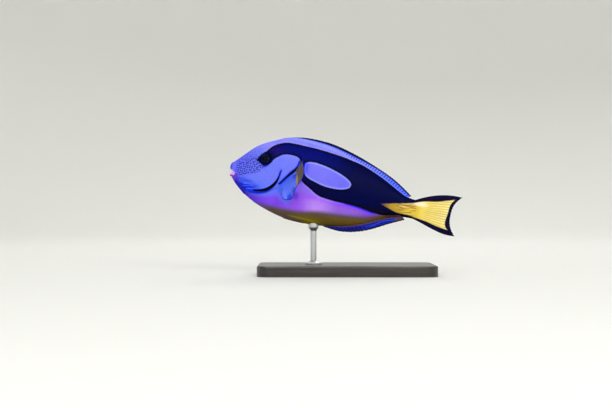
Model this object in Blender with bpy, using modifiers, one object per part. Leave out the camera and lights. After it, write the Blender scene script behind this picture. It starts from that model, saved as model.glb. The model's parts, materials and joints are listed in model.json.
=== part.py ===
# Regal blue tang, a still life-size model on a plain one-rod display stand.
# The fish is built in its own frame: snout at the origin, tail along +X, back along +Z, left side
# along -Y. It is then tipped nose up and set over the stand. Sizes are in millimetres times MM.

import math

import bmesh
import bpy
import numpy as np
from mathutils import Matrix, Vector

MM = 0.001
GAP = 0.3 * MM

# The pose: nose up, with the snout this far from the stand's middle and this high over the floor.
PITCH = math.radians(11.8)
SNOUT_X = -98.04 * MM
SNOUT_HEIGHT = 88 * MM

# The body seen from the side: distance from the snout and height over the fish's axis, in mm.
BACK = [(0, 7.4), (2, 9.4), (6, 13.6), (10, 17.9), (14, 22.0), (17, 24.8), (20, 27.1), (26, 30.6),
        (32, 33.5), (38, 35.8), (47, 36.9), (58, 37.0), (72, 36.0), (87, 33.6), (102, 30.0),
        (116, 25.4), (130, 19.4), (142, 13.2), (151, 9.3), (158, 8.2)]
BELLY = [(0, -2.6), (4, -7.4), (11, -13.6), (22, -20.4), (35, -25.5), (49, -29.1), (66, -30.6),
         (85, -29.6), (99, -27.0), (113, -22.9), (126, -17.3), (138, -12.0), (148, -8.7),
         (158, -8.0)]
# Half the body's width, the height of its widest line, and how round its sections are: 2 is an
# ellipse, less makes the back or belly a sharper ridge.
HALF_WIDTH = [(0, 2.7), (4, 4.5), (10, 6.5), (18, 8.8), (30, 11.2), (44, 12.7), (60, 13.1),
              (78, 12.2), (98, 10.1), (118, 7.4), (136, 5.0), (148, 3.6), (158, 2.2)]
WIDEST_LEVEL = [(0, 0.2), (14, 1.0), (30, 2.4), (60, 2.8), (100, 3.0), (130, 1.6), (158, 0.2)]
BACK_ROUNDNESS = [(0, 2.1), (20, 2.1), (45, 1.85), (90, 1.7), (135, 1.8), (158, 2.0)]
BELLY_ROUNDNESS = [(0, 2.1), (30, 2.2), (70, 2.15), (110, 1.9), (135, 1.9), (158, 2.0)]

# Where the body is parted: along the gill cover's rear edge, and in front of the tail base.
GILL_EDGE = [(45, 46), (49.5, 34), (54.4, 27), (56.4, 20.5), (54.8, 13), (49, 5.2), (42.8, -3.4),
             (36.5, -8.8), (29.5, -11.6), (21.5, -13.4), (15, -16.8), (9, -25)]
GILL_LIFT = 0.9 * MM
GILL_LIFT_LENGTH = 5.0 * MM
GILL_LIFT_TOP = 27 * MM
TAIL_BASE_START = 141 * MM
BODY_END = 157.3 * MM
RING_POINTS = 36
HEAD_STATION = 2.3 * MM
TRUNK_STATION = 3.8 * MM

# Face
EYE_PLACE = (27.0, 16.1)
EYE_RADIUS = 5.5 * MM
EYE_DEPTH = 3.6 * MM
EYE_PROUD = 1.7 * MM
EYE_OPENING = 4.9 * MM
ORBIT_RIM = 0.55 * MM
NOSTRILS = [((18.8, 14.4), 0.6), ((20.8, 12.3), 0.5)]
SNOUT_START = 0.12 * MM
SNOUT_ROUND = 1.3 * MM
MOUTH_CORNER = (4.3, 3.6, 0.5)
MOUTH_CUT = (5.0, 4.0, 0.95)
# Each lip: its height over the mouth's line, how far back its middle lies, and its radius, in mm
LIPS = {"upper_lip": (3.0, 0.8, 2.0), "lower_lip": (-1.9, 0.9, 1.4)}

# Fins: rays, and the outer edge as distance from the snout and height, in mm.
MEMBRANE = 0.28 * MM
RIDGE = 0.3 * MM
RIDGE_FOOT = 0.24
DORSAL_RAYS = 28
DORSAL_BASE = (35.5, 148.0)
DORSAL_EDGE = [(37, 36.2), (42.5, 38.0), (48, 39.4), (55, 40.7), (65, 41.3), (79, 40.5), (94, 37.4),
               (108.5, 33.1), (123.5, 27.6), (139, 20.6), (154.5, 10.7)]
ANAL_RAYS = 21
ANAL_BASE = (85.5, 147)
ANAL_EDGE = [(87, -30.0), (99, -31.2), (114, -29.0), (127, -24.0), (139, -17.4), (152, -10.8)]
CAUDAL_RAYS = 16
CAUDAL_ROOT_HALF = 7.7 * MM
CAUDAL_TIP = (197.3, 16.7)
CAUDAL_FORK = 6.9 * MM
CAUDAL_RISE = 1.5 * MM
LOWER_LOBE_BULGE = 2.2 * MM
UPPER_LOBE_BULGE = 3.2 * MM
PECTORAL_RAYS = 13
PECTORAL_BASE = ((56.6, 10.8), (46.2, -5.6))
# Each row is a ray from the top one down: its tip seen from the side, and how far out it reaches.
PECTORAL_TIPS = [(57.9, 20.0, 34.5), (60.2, 16.0, 33.5), (61.7, 10.0, 31), (60.6, 4.6, 27.5),
                 (58.2, -1.0, 23), (56.4, -7.6, 17.5), (53.0, -13.0, 12), (48.6, -13.9, 9),
                 (45.6, -11.2, 8)]
PELVIC_RAYS = 4
PELVIC_STATIONS = (51, 70)
PELVIC_WIDTH = (0.18, 0.46)
PELVIC_HALF_THICKNESS = 0.38 * MM

# The folded spine on each side of the tail base
SPINE_PLACE = (149.5, 0.3)
SPINE_LENGTH = 10.0 * MM
SPINE_HEIGHT = 2.3 * MM
SPINE_THICKNESS = 1.7 * MM

# Stand
BASE_SIZE = (150 * MM, 78 * MM, 9 * MM)
BASE_CORNER = 10 * MM
BASE_EDGE = 1.2 * MM
ROD_STATION = 78 * MM
ROD_RADIUS = 2.6 * MM
ROD_FOOT_RADIUS = 7.5 * MM
ROD_FOOT_HEIGHT = 3.0 * MM
ROD_HEAD_RADIUS = 4.4 * MM
ROD_HEAD_HEIGHT = 5.0 * MM
ROD_STEPS = 24

# Colour, roughness and metallic value of each part
FINISHES = {
    "head": ((0.16, 0.2, 0.85), 0.4, 0), "trunk": ((0.14, 0.18, 0.8), 0.4, 0),
    "tail_base": ((0.003, 0.004, 0.06), 0.4, 0), "dorsal_fin": ((0.14, 0.2, 0.9), 0.45, 0),
    "anal_fin": ((0.01, 0.012, 0.3), 0.45, 0), "tail_fin": ((0.85, 0.68, 0.1), 0.45, 0),
    "pectoral_fin_left": ((0.16, 0.22, 0.85), 0.45, 0),
    "pectoral_fin_right": ((0.16, 0.22, 0.85), 0.45, 0),
    "pelvic_fin_left": ((0.3, 0.2, 0.7), 0.45, 0), "pelvic_fin_right": ((0.3, 0.2, 0.7), 0.45, 0),
    "eye_left": ((0.002, 0.003, 0.012), 0.1, 0), "eye_right": ((0.002, 0.003, 0.012), 0.1, 0),
    "tail_spine_left": ((0.75, 0.62, 0.2), 0.4, 0),
    "tail_spine_right": ((0.75, 0.62, 0.2), 0.4, 0),
    "stand_base": ((0.02, 0.018, 0.016), 0.45, 0), "stand_rod": ((0.6, 0.6, 0.62), 0.3, 1),
}


def clear_scene():
    for obj in list(bpy.data.objects):
        bpy.data.objects.remove(obj)


def smooth_curve(points):
    """A natural cubic through (place, value) pairs, as a function of the place."""
    x, y = np.array(points, float).T
    step = np.diff(x)
    count = len(x)
    system = np.eye(count)
    right = np.zeros(count)
    for i in range(1, count - 1):
        system[i, i - 1:i + 2] = step[i - 1], 2 * (step[i - 1] + step[i]), step[i]
        right[i] = 6 * ((y[i + 1] - y[i]) / step[i] - (y[i] - y[i - 1]) / step[i - 1])
    bend = np.linalg.solve(system, right)

    def value(place):
        p = np.clip(place, x[0], x[-1])
        i = np.clip(np.searchsorted(x, p) - 1, 0, count - 2)
        before, after = p - x[i], x[i + 1] - p
        cubic = (bend[i] * after ** 3 + bend[i + 1] * before ** 3) / (6 * step[i])
        return (cubic + (y[i] / step[i] - bend[i] * step[i] / 6) * after
                + (y[i + 1] / step[i] - bend[i + 1] * step[i] / 6) * before)

    return value


def smooth_path(points):
    """A smooth line through points, as a function from 0 at the first to 1 at the last."""
    points = np.array(points, float)
    along = np.concatenate([[0], np.cumsum(np.linalg.norm(np.diff(points, axis=0), axis=1))])
    along /= along[-1]
    parts = [smooth_curve(np.stack([along, column], axis=1)) for column in points.T]
    return lambda t: np.array([part(t) for part in parts])


def profile(points):
    """A smooth curve given in millimetres, read and answered in metres."""
    curve = smooth_curve(points)
    return lambda place: float(curve(place / MM)) * MM


back = profile(BACK)
belly = profile(BELLY)
half_width = profile(HALF_WIDTH)
widest_level = profile(WIDEST_LEVEL)
back_roundness = smooth_curve(BACK_ROUNDNESS)
belly_roundness = smooth_curve(BELLY_ROUNDNESS)
gill_line = np.array([smooth_path(GILL_EDGE)(t) for t in np.linspace(0, 1, 45)]) * MM


def side_half_width(station, height):
    """Half the body's width at a height: the place of the flank's surface."""
    level = widest_level(station)
    if height >= level:
        share = (height - level) / (back(station) - level)
        power = float(back_roundness(station / MM))
    else:
        share = (level - height) / (level - belly(station))
        power = float(belly_roundness(station / MM))
    return half_width(station) * max(0.0, 1 - min(share, 1) ** power) ** (1 / power)


def flank_point(place, side, out=0.0):
    """The point of the flank at (distance, height) in mm, moved out sideways."""
    station, height = place[0] * MM, place[1] * MM
    return Vector((station, side * (side_half_width(station, height) + out), height))


def flank_normal(place, side):
    step = 0.5
    along = flank_point((place[0] + step, place[1]), side) - flank_point(
        (place[0] - step, place[1]), side)
    up = flank_point((place[0], place[1] + step), side) - flank_point(
        (place[0], place[1] - step), side)
    normal = along.cross(up).normalized()
    return normal if normal.y * side > 0 else -normal


def gill_lift(station, height):
    """How far the gill cover stands out: most at its edge, fading forward and to its top."""
    offset = np.array([station, height]) - gill_line
    nearest = int(np.argmin((offset ** 2).sum(axis=1)))
    run = gill_line[min(nearest + 1, len(gill_line) - 1)] - gill_line[max(nearest - 1, 0)]
    ahead = offset[nearest][0] * run[1] - offset[nearest][1] * run[0]
    distance = np.linalg.norm(offset[nearest]) if ahead > 0 else 0.0
    fade = min(1.0, max(0.0, (GILL_LIFT_TOP - height) / (6 * MM)))
    return GILL_LIFT * fade * math.exp(-(distance / GILL_LIFT_LENGTH) ** 2)


def section_ring(station, lifted):
    """The closed section of the body at a station, from the back round; small at the snout."""
    top, low, level = back(station), belly(station), widest_level(station)
    blunt = max(0.0, 1 - station / SNOUT_ROUND)
    size = math.sqrt(1 - blunt ** 2)
    ring = []
    for i in range(RING_POINTS):
        angle = 2 * math.pi * i / RING_POINTS
        across, up = math.sin(angle), math.cos(angle)
        power = float((back_roundness if up > 0 else belly_roundness)(station / MM))
        reach = top - level if up > 0 else level - low
        y = math.copysign(abs(across) ** (2 / power) * half_width(station) * size, across)
        z = level + math.copysign(abs(up) ** (2 / power) * reach * size, up)
        if lifted:
            y += math.copysign(gill_lift(station, z) * min(1, abs(y) / (4 * MM)), y)
        ring.append((station, y, z))
    return ring


def material(name, colour, roughness, metallic=0.0):
    made = bpy.data.materials.new(name)
    made.use_nodes = True
    shader = made.node_tree.nodes["Principled BSDF"]
    shader.inputs["Base Color"].default_value = (*colour, 1)
    shader.inputs["Roughness"].default_value = roughness
    shader.inputs["Metallic"].default_value = metallic
    return made


def new_object(name, mesh, collection):
    obj = bpy.data.objects.new(name, mesh)
    collection.objects.link(obj)
    if collection.name == "cutters":
        obj.hide_render = True
        obj.display_type = "WIRE"
    return obj


def mesh_of(bm, name):
    bmesh.ops.recalc_face_normals(bm, faces=bm.faces)
    mesh = bpy.data.meshes.new(name)
    bm.to_mesh(mesh)
    bm.free()
    return mesh


def stations(start, end, spacing):
    """Section places, closer together near the snout, where the head widens fast."""
    places = [start]
    while places[-1] < end - 1e-6:
        near = min(1.0, 0.3 + places[-1] / (14 * MM))
        places.append(min(end, places[-1] + spacing * near))
    if places[-1] - places[-2] < 0.4 * spacing:
        del places[-2]
    return places


def body_loft(name, start, end, spacing, lifted, collection):
    """A length of the body as a loft through its sections, with flat ends."""
    bm = bmesh.new()
    rings = [[bm.verts.new(point) for point in section_ring(place, lifted)]
             for place in stations(start, end, spacing)]
    for near, far in zip(rings, rings[1:]):
        for i in range(RING_POINTS):
            j = (i + 1) % RING_POINTS
            bm.faces.new((near[i], near[j], far[j], far[i]))
    bm.faces.new(rings[0])
    bm.faces.new(rings[-1])
    return new_object(name, mesh_of(bm, name), collection)


def side_prism(name, outline, collection):
    """A slab right through the fish with this outline, seen from the side."""
    reach = 60 * MM
    bm = bmesh.new()
    face = bm.faces.new([bm.verts.new((x, -reach, z)) for x, z in outline])
    pushed = bmesh.ops.extrude_face_region(bm, geom=[face])["geom"]
    corners = [v for v in pushed if isinstance(v, bmesh.types.BMVert)]
    bmesh.ops.translate(bm, verts=corners, vec=(0, 2 * reach, 0))
    return new_object(name, mesh_of(bm, name), collection)


def gill_outline(offset, far):
    """The gill edge moved towards the tail by offset, and closed round a far edge at x = far."""
    run = np.gradient(gill_line, axis=0)
    across = np.stack([-run[:, 1], run[:, 0]], axis=1)
    across /= np.linalg.norm(across, axis=1)[:, None]
    line = gill_line + across * offset
    reach = 70 * MM
    return [*map(tuple, line), (line[-1][0], -reach), (far, -reach), (far, reach),
            (line[0][0], reach)]


def evaluated_mesh(obj):
    """A new mesh of the object with its modifiers, its curve caps welded."""
    graph = bpy.context.evaluated_depsgraph_get()
    mesh = bpy.data.meshes.new_from_object(obj.evaluated_get(graph))
    bm = bmesh.new()
    bm.from_mesh(mesh)
    bmesh.ops.remove_doubles(bm, verts=bm.verts, dist=0.002 * MM)
    bmesh.ops.recalc_face_normals(bm, faces=bm.faces)
    bm.to_mesh(mesh)
    bm.free()
    return mesh


def largest_surface(mesh):
    """Keeps the largest closed surface of a mesh, and drops the scraps a Boolean leaves."""
    bm = bmesh.new()
    bm.from_mesh(mesh)
    left = set(bm.verts)
    shells = []
    while left:
        front = [left.pop()]
        shell = set(front)
        while front:
            for edge in front.pop().link_edges:
                for vert in edge.verts:
                    if vert not in shell:
                        shell.add(vert)
                        front.append(vert)
        left -= shell
        shells.append(shell)
    keep = max(shells, key=len)
    bmesh.ops.delete(bm, geom=[v for v in bm.verts if v not in keep], context="VERTS")
    bm.to_mesh(mesh)
    bm.free()


def as_mesh(obj):
    """Turns a curve, or an object with modifiers, into a plain mesh object of the same name."""
    mesh = evaluated_mesh(obj)
    name, collection, place = obj.name, obj.users_collection[0], obj.matrix_world.copy()
    bpy.data.objects.remove(obj)
    made = new_object(name, mesh, collection)
    made.matrix_world = place
    return made


def combine(obj, others, operation, solver="EXACT"):
    """Cuts others from obj, or joins them to it, and removes them."""
    bpy.context.view_layer.update()
    group = bpy.data.collections.new(obj.name + "_group")
    for other in others:
        group.objects.link(other)
    change = obj.modifiers.new(operation.lower(), "BOOLEAN")
    change.operation = operation
    change.operand_type = "COLLECTION"
    change.collection = group
    change.solver = solver
    mesh = evaluated_mesh(obj)
    obj.modifiers.clear()
    largest_surface(mesh)
    obj.data = mesh
    for other in others:
        bpy.data.objects.remove(other)
    bpy.data.collections.remove(group)
    return obj


def tube(name, points, radii, collection, closed=False, sides=2):
    """A round bar through points, one radius for each."""
    curve = bpy.data.curves.new(name, "CURVE")
    curve.dimensions = "3D"
    curve.bevel_depth = 1.0
    curve.bevel_resolution = sides
    curve.use_fill_caps = True
    line = curve.splines.new("POLY")
    line.points.add(len(points) - 1)
    for spot, point, radius in zip(line.points, points, radii):
        spot.co = (*point, 1)
        spot.radius = radius
    line.use_cyclic_u = closed
    return as_mesh(new_object(name, curve, collection))


def ball(name, centre, axes, collection, facing=Vector((0, 1, 0)), segments=16, rings=10):
    """An ellipsoid with half axes along the body, along the way it faces, and up."""
    bm = bmesh.new()
    bmesh.ops.create_uvsphere(bm, u_segments=segments, v_segments=rings, radius=1.0)
    along = Vector((1, 0, 0)) - facing * facing.x
    along.normalize()
    turn = Matrix((along, facing, along.cross(facing))).transposed().to_4x4()
    bmesh.ops.transform(bm, verts=bm.verts, matrix=Matrix.Translation(centre) @ turn
                        @ Matrix.Diagonal((*axes, 1)))
    return new_object(name, mesh_of(bm, name), collection)


def ray_columns(rays):
    """(place across the fin, share of the ridge's height) of each column of points."""
    columns = []
    for i in range(rays):
        middle = i / (rays - 1)
        foot = RIDGE_FOOT / (rays - 1)
        for place, share in ((middle - foot, 0), (middle, 1), (middle + foot, 0)):
            if 0 <= place <= 1:
                columns.append((place, share))
    return columns


def fin_blade(name, point_at, thickness_at, rays, rows, collection, scallop=0.0, ridged=(1, -1)):
    """A thin fin: point_at(across, out) is its middle surface, and its rays stand up as ridges.

    Both faces are split into triangles alike, so they never cross where the fin is thin. Faces
    not in ridged are smooth.
    """
    columns = ray_columns(rays)
    bm = bmesh.new()
    faces = {1: [], -1: []}
    for across, share in columns:
        line = {1: [], -1: []}
        for out in rows:
            reach = out if share else out - scallop * max(out, 0) ** 4
            here = Vector(point_at(across, reach))
            step = 0.02
            low, high = max(0.0, across - step), min(1.0, across + step)
            along = Vector(point_at(high, reach)) - Vector(point_at(low, reach))
            outward = Vector(point_at(across, reach + step)) - Vector(
                point_at(across, reach - step))
            normal = along.cross(outward).normalized()
            half = thickness_at(across, out)
            ridge = share * RIDGE * (1 - 0.6 * max(out, 0))
            for face in (1, -1):
                lift = half + ridge if face in ridged else half
                line[face].append(bm.verts.new(here + normal * lift * face))
        for face in (1, -1):
            faces[face].append(line[face])
    last_column, last_row = len(columns) - 1, len(rows) - 1
    for face in (1, -1):
        grid = faces[face]
        for i in range(last_column):
            for j in range(last_row):
                a, b = grid[i][j], grid[i + 1][j]
                c, d = grid[i + 1][j + 1], grid[i][j + 1]
                for corners in ((a, b, c), (a, c, d)):
                    bm.faces.new(corners if face == 1 else corners[::-1])
    rim = [(i, 0) for i in range(last_column)]
    rim += [(last_column, j) for j in range(last_row)]
    rim += [(i, last_row) for i in range(last_column, 0, -1)]
    rim += [(0, j) for j in range(last_row, 0, -1)]
    for (i, j), (k, m) in zip(rim, rim[1:] + rim[:1]):
        near, far = faces[1][i][j], faces[1][k][m]
        near_back, far_back = faces[-1][i][j], faces[-1][k][m]
        bm.faces.new((near, near_back, far))
        bm.faces.new((far, near_back, far_back))
    return new_object(name, mesh_of(bm, name), collection)


def build_body(parts, cutters):
    """Head, trunk and tail base, parted along the gill edge and in front of the tail base."""
    head = body_loft("head", SNOUT_START, 62 * MM, HEAD_STATION, True, parts)
    behind = side_prism("behind_gill", gill_outline(0, 100 * MM), cutters)
    combine(head, [behind], "DIFFERENCE")
    trunk = body_loft("trunk", 6 * MM, TAIL_BASE_START - GAP, TRUNK_STATION, False, parts)
    ahead = side_prism("before_gill", gill_outline(GAP, -30 * MM), cutters)
    combine(trunk, [ahead], "DIFFERENCE")
    tail_base = body_loft("tail_base", TAIL_BASE_START, BODY_END, 2.4 * MM, False, parts)
    return head, trunk, tail_base


def build_face(head, parts, cutters):
    """Lips, mouth, nostrils and orbit rims on the head, and the two eyes in their sockets."""
    corner = Vector(MOUTH_CORNER) * MM
    lips = []
    for name, (height, front, radius) in LIPS.items():
        points, radii = [], []
        for i in range(15):
            angle = math.pi * (i / 14 - 0.5)
            bow = math.cos(angle)
            points.append((corner.x + (front * MM - corner.x) * bow ** 0.8,
                           corner.y * math.sin(angle), corner.z + height * MM * bow ** 0.6))
            radii.append(radius * MM * (0.5 + 0.5 * bow))
        lips.append(tube(name, points, radii, cutters))
    rims = []
    for side in (1, -1):
        circle = []
        for i in range(24):
            angle = 2 * math.pi * i / 24
            reach = (EYE_OPENING + ORBIT_RIM * 0.6) / MM
            place = (EYE_PLACE[0] + reach * math.cos(angle), EYE_PLACE[1] + reach * math.sin(angle))
            circle.append(flank_point(place, side))
        rims.append(tube("orbit_rim", circle, [ORBIT_RIM] * len(circle), cutters, closed=True))
    combine(head, lips + rims, "UNION")

    mouth = ball("mouth", (0, 0, corner.z), Vector(MOUTH_CUT) * MM, cutters)
    cuts = [mouth]
    for side in (1, -1):
        normal = flank_normal(EYE_PLACE, side)
        centre = flank_point(EYE_PLACE, side) - normal * (EYE_DEPTH - EYE_PROUD)
        name = "eye_left" if side < 0 else "eye_right"
        axes = Vector((EYE_RADIUS, EYE_DEPTH, EYE_RADIUS))
        eye = ball(name, centre, axes, parts, normal)
        cuts.append(ball("socket", centre, axes + Vector((GAP, GAP, GAP)) * 1.4, cutters, normal))
        for place, radius in NOSTRILS:
            out = flank_normal(place, side)
            cuts.append(ball("nostril", flank_point(place, side), Vector((1, 1.4, 1)) * radius * MM,
                             cutters, out, segments=8, rings=6))
    combine(head, cuts, "DIFFERENCE")


def midline_fin(name, rays, base, edge, root_line, side, parts):
    """The dorsal or anal fin: a blade over the midline from its base out to its edge."""
    edge_line = smooth_path(edge)

    def point_at(across, out):
        station = (base[0] + (base[1] - base[0]) * across) * MM
        root = Vector((station, 0, root_line(station) + side * GAP))
        tip_place = edge_line(across)
        tip = Vector((tip_place[0] * MM, 0, tip_place[1] * MM))
        return root.lerp(tip, out)

    def thickness_at(across, out):
        return MEMBRANE + 0.35 * MM * max(0.0, 1 - out * 1.6) ** 2

    rows = (0, 0.3, 0.65, 1)
    return fin_blade(name, point_at, thickness_at, rays, rows, parts, scallop=0.06)


def build_caudal(parts):
    """The tail fin: rays fan from the tail base to a shallow fork with pointed corners."""
    def point_at(across, out):
        t = 2 * across - 1
        root = Vector((BODY_END + GAP, 0, CAUDAL_ROOT_HALF * t))
        tip = Vector((CAUDAL_TIP[0] * MM - CAUDAL_FORK * (1 - abs(t) ** 2.6), 0,
                      CAUDAL_RISE + CAUDAL_TIP[1] * MM * t))
        if t > 0:
            bulge = UPPER_LOBE_BULGE * 4 * out * (1 - out)
        else:
            bulge = LOWER_LOBE_BULGE * 6.75 * out ** 2 * (1 - out)
        return root.lerp(tip, out) + Vector((0, 0, bulge * t * abs(t)))

    def thickness_at(across, out):
        t = 2 * across - 1
        root = 1.5 * MM * math.sqrt(max(0.0, 1 - t * t)) + 0.5 * MM
        return MEMBRANE + root * max(0.0, 1 - out * 2.6) ** 2

    rows = (0, 0.08, 0.18, 0.32, 0.55, 0.8, 1)
    return fin_blade("tail_fin", point_at, thickness_at, CAUDAL_RAYS, rows, parts, scallop=0.015)


def build_pectoral(side, trunk, parts, cutters):
    """A side fin, held out from the flank with its blade on edge and its tips swept back."""
    tips = smooth_path(PECTORAL_TIPS)

    def point_at(across, out):
        place = [a + (b - a) * across for a, b in zip(*PECTORAL_BASE)]
        root = flank_point(place, side)
        tip = tips(across) * MM
        if out < 0:
            return root - Vector((0, side * 22 * MM * -out, 0))
        swept = out ** 1.7
        return Vector((root.x + (tip[0] - root.x) * swept, root.y + side * tip[2] * out,
                       root.z + (tip[1] - root.z) * swept))

    def thickness_at(across, out):
        return MEMBRANE + 0.75 * MM * max(0.0, 1 - max(out, 0) * 3.4) ** 2

    rows = (-0.1, 0.0, 0.12, 0.28, 0.5, 0.75, 1)
    name = "pectoral_fin_left" if side < 0 else "pectoral_fin_right"
    fin = fin_blade(name, point_at, thickness_at, PECTORAL_RAYS, rows, parts, scallop=0.03)
    combine(fin, [grown(trunk, cutters)], "DIFFERENCE")
    return fin


def build_pelvic(side, parts):
    """A belly fin, folded back flat against the belly."""
    def point_at(across, out):
        first, last = PELVIC_STATIONS
        station = (first + (last - first) * (0.1 * across + out * (1 - 0.25 * across))) * MM
        angle = PELVIC_WIDTH[0] + (PELVIC_WIDTH[1] - PELVIC_WIDTH[0]) * across * (1 - 0.5 * out)
        level, power = widest_level(station), float(belly_roundness(station / MM))
        clear = GAP + PELVIC_HALF_THICKNESS + 0.1 * MM
        y = side * (half_width(station) * math.sin(angle) ** (2 / power))
        z = level - (level - belly(station)) * math.cos(angle) ** (2 / power)
        outward = Vector((0, side * math.sin(angle), -math.cos(angle)))
        return Vector((station, y, z)) + outward * clear

    def thickness_at(across, out):
        return PELVIC_HALF_THICKNESS - 0.1 * MM * out

    name = "pelvic_fin_left" if side < 0 else "pelvic_fin_right"
    rows = (0, 0.2, 0.4, 0.6, 0.8, 1)
    return fin_blade(name, point_at, thickness_at, PELVIC_RAYS, rows, parts, scallop=0.1,
                     ridged=(side,))


def build_spine(side, tail_base, parts, cutters):
    """The folded tail spine in its groove, its point towards the head."""
    normal = flank_normal(SPINE_PLACE, side)
    centre = flank_point(SPINE_PLACE, side)
    axes = Vector((SPINE_LENGTH, SPINE_THICKNESS, SPINE_HEIGHT)) / 2
    name = "tail_spine_left" if side < 0 else "tail_spine_right"
    spine = ball(name, centre, axes, parts, normal, segments=16, rings=8)
    for vert in spine.data.vertices:
        ahead = (centre.x - vert.co.x) / axes.x
        vert.co.z = centre.z + (vert.co.z - centre.z) * (1 - 0.45 * max(0.0, ahead))
    groove = ball("groove", centre, axes + Vector((2.2, 1.4, 1.8)) * GAP, cutters, normal)
    combine(tail_base, [groove], "DIFFERENCE")
    return spine


def grown(obj, cutters):
    """A copy of a body node that is one gap bigger all round, to cut what meets it."""
    mesh = obj.data.copy()
    bm = bmesh.new()
    bm.from_mesh(mesh)
    bm.normal_update()
    moves = [v.normal * GAP for v in bm.verts]
    for vert, move in zip(bm.verts, moves):
        vert.co += move
    bm.to_mesh(mesh)
    bm.free()
    made = new_object(obj.name + "_grown", mesh, cutters)
    made.matrix_world = obj.matrix_world.copy()
    return made


def build_stand(trunk, pose, parts, cutters):
    """A flat base and one rod up to the belly, its head cut to the belly's form."""
    width, depth, height = BASE_SIZE
    bm = bmesh.new()
    bmesh.ops.create_cube(bm, size=1)
    bmesh.ops.scale(bm, vec=BASE_SIZE, verts=bm.verts)
    bmesh.ops.translate(bm, vec=(0, 0, height / 2), verts=bm.verts)
    upright = [e for e in bm.edges if abs(e.verts[0].co.z - e.verts[1].co.z) > height / 2]
    bmesh.ops.bevel(bm, geom=upright, offset=BASE_CORNER, segments=6, profile=0.5,
                    affect="EDGES")
    top = [e for e in bm.edges if all(v.co.z > height - 1e-6 for v in e.verts)]
    bmesh.ops.bevel(bm, geom=top, offset=BASE_EDGE, segments=2, profile=0.5, affect="EDGES")
    base = new_object("stand_base", mesh_of(bm, "stand_base"), parts)

    foot = pose @ Vector((ROD_STATION, 0, belly(ROD_STATION)))
    bottom, head = height + GAP, foot.z + 4 * MM
    outline = [(0, head), (ROD_HEAD_RADIUS, head), (ROD_HEAD_RADIUS, foot.z - 2 * MM),
               (ROD_RADIUS, foot.z - ROD_HEAD_HEIGHT), (ROD_RADIUS, bottom + ROD_FOOT_HEIGHT),
               (ROD_RADIUS + 1.2 * MM, bottom + 0.75 * ROD_FOOT_HEIGHT),
               (ROD_FOOT_RADIUS, bottom + 0.35 * ROD_FOOT_HEIGHT), (ROD_FOOT_RADIUS, bottom),
               (0, bottom)]
    bm = bmesh.new()
    corners = [bm.verts.new((x, 0, z)) for x, z in outline]
    for a, b in zip(corners, corners[1:]):
        bm.edges.new((a, b))
    mesh = bpy.data.meshes.new("stand_rod")
    bm.to_mesh(mesh)
    bm.free()
    rod = new_object("stand_rod", mesh, parts)
    turn = rod.modifiers.new("turn", "SCREW")
    turn.steps = turn.render_steps = ROD_STEPS
    turn.use_merge_vertices = True
    turn.merge_threshold = 0.00001
    rod.location = (foot.x, 0, 0)
    bpy.context.view_layer.update()
    rod = as_mesh(rod)
    bpy.context.view_layer.update()
    cutter = grown(trunk, cutters)
    cutter.matrix_world = pose
    combine(rod, [cutter], "DIFFERENCE")


def main():
    clear_scene()
    parts = bpy.data.collections.new("regal_blue_tang")
    cutters = bpy.data.collections.new("cutters")
    for collection in (parts, cutters):
        bpy.context.scene.collection.children.link(collection)
    head, trunk, tail_base = build_body(parts, cutters)
    build_face(head, parts, cutters)
    midline_fin("dorsal_fin", DORSAL_RAYS, DORSAL_BASE, DORSAL_EDGE, back, 1, parts)
    midline_fin("anal_fin", ANAL_RAYS, ANAL_BASE, ANAL_EDGE, belly, -1, parts)
    build_caudal(parts)
    for side in (1, -1):
        build_pectoral(side, trunk, parts, cutters)
        build_pelvic(side, parts)
        build_spine(side, tail_base, parts, cutters)

    # The fish is tipped nose up, and from lips to tail tip it is centred over the base.
    holder = bpy.data.objects.new("fish_pose", None)
    parts.objects.link(holder)
    holder.location = (SNOUT_X, 0, SNOUT_HEIGHT)
    holder.rotation_euler = (0, PITCH, 0)
    bpy.context.view_layer.update()
    for obj in parts.objects:
        if obj.type == "MESH":
            obj.parent = holder
    bpy.context.view_layer.update()
    build_stand(trunk, holder.matrix_world.copy(), parts, cutters)
    for obj in parts.objects:
        if obj.type == "MESH":
            obj.data.materials.clear()
            obj.data.materials.append(material(obj.name, *FINISHES[obj.name]))


main()
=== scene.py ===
# Regal blue tang: the looks of the life-size museum model, on its one-rod display stand.
# The fish has its own frame, in millimetres: distance back from the snout, sideways, and height
# over its axis. toRow turns it nose up and sets it over the stand, where the solids are.

import json
import math

import bpy
import numpy as np
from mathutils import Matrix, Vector

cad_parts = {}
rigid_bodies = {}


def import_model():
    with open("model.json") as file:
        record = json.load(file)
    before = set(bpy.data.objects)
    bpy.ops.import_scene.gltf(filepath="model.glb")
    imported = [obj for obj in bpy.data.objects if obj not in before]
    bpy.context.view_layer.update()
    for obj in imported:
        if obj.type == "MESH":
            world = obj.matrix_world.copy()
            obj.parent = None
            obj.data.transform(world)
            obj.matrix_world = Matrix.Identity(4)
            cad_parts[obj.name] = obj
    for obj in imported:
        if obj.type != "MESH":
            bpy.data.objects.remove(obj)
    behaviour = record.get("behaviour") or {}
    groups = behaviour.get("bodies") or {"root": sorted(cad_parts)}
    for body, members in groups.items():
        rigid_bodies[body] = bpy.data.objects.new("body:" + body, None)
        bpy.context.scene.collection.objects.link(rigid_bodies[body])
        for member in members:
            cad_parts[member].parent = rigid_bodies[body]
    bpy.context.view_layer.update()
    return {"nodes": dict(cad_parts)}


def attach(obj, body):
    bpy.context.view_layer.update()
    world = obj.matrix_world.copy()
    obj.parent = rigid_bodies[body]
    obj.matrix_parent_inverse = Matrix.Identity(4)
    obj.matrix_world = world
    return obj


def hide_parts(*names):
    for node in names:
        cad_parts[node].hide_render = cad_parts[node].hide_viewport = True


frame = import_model()
mm = 0.001

pose = {"pitch": math.radians(11.8), "snoutX": -98.04, "snoutHeight": 88}

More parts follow.
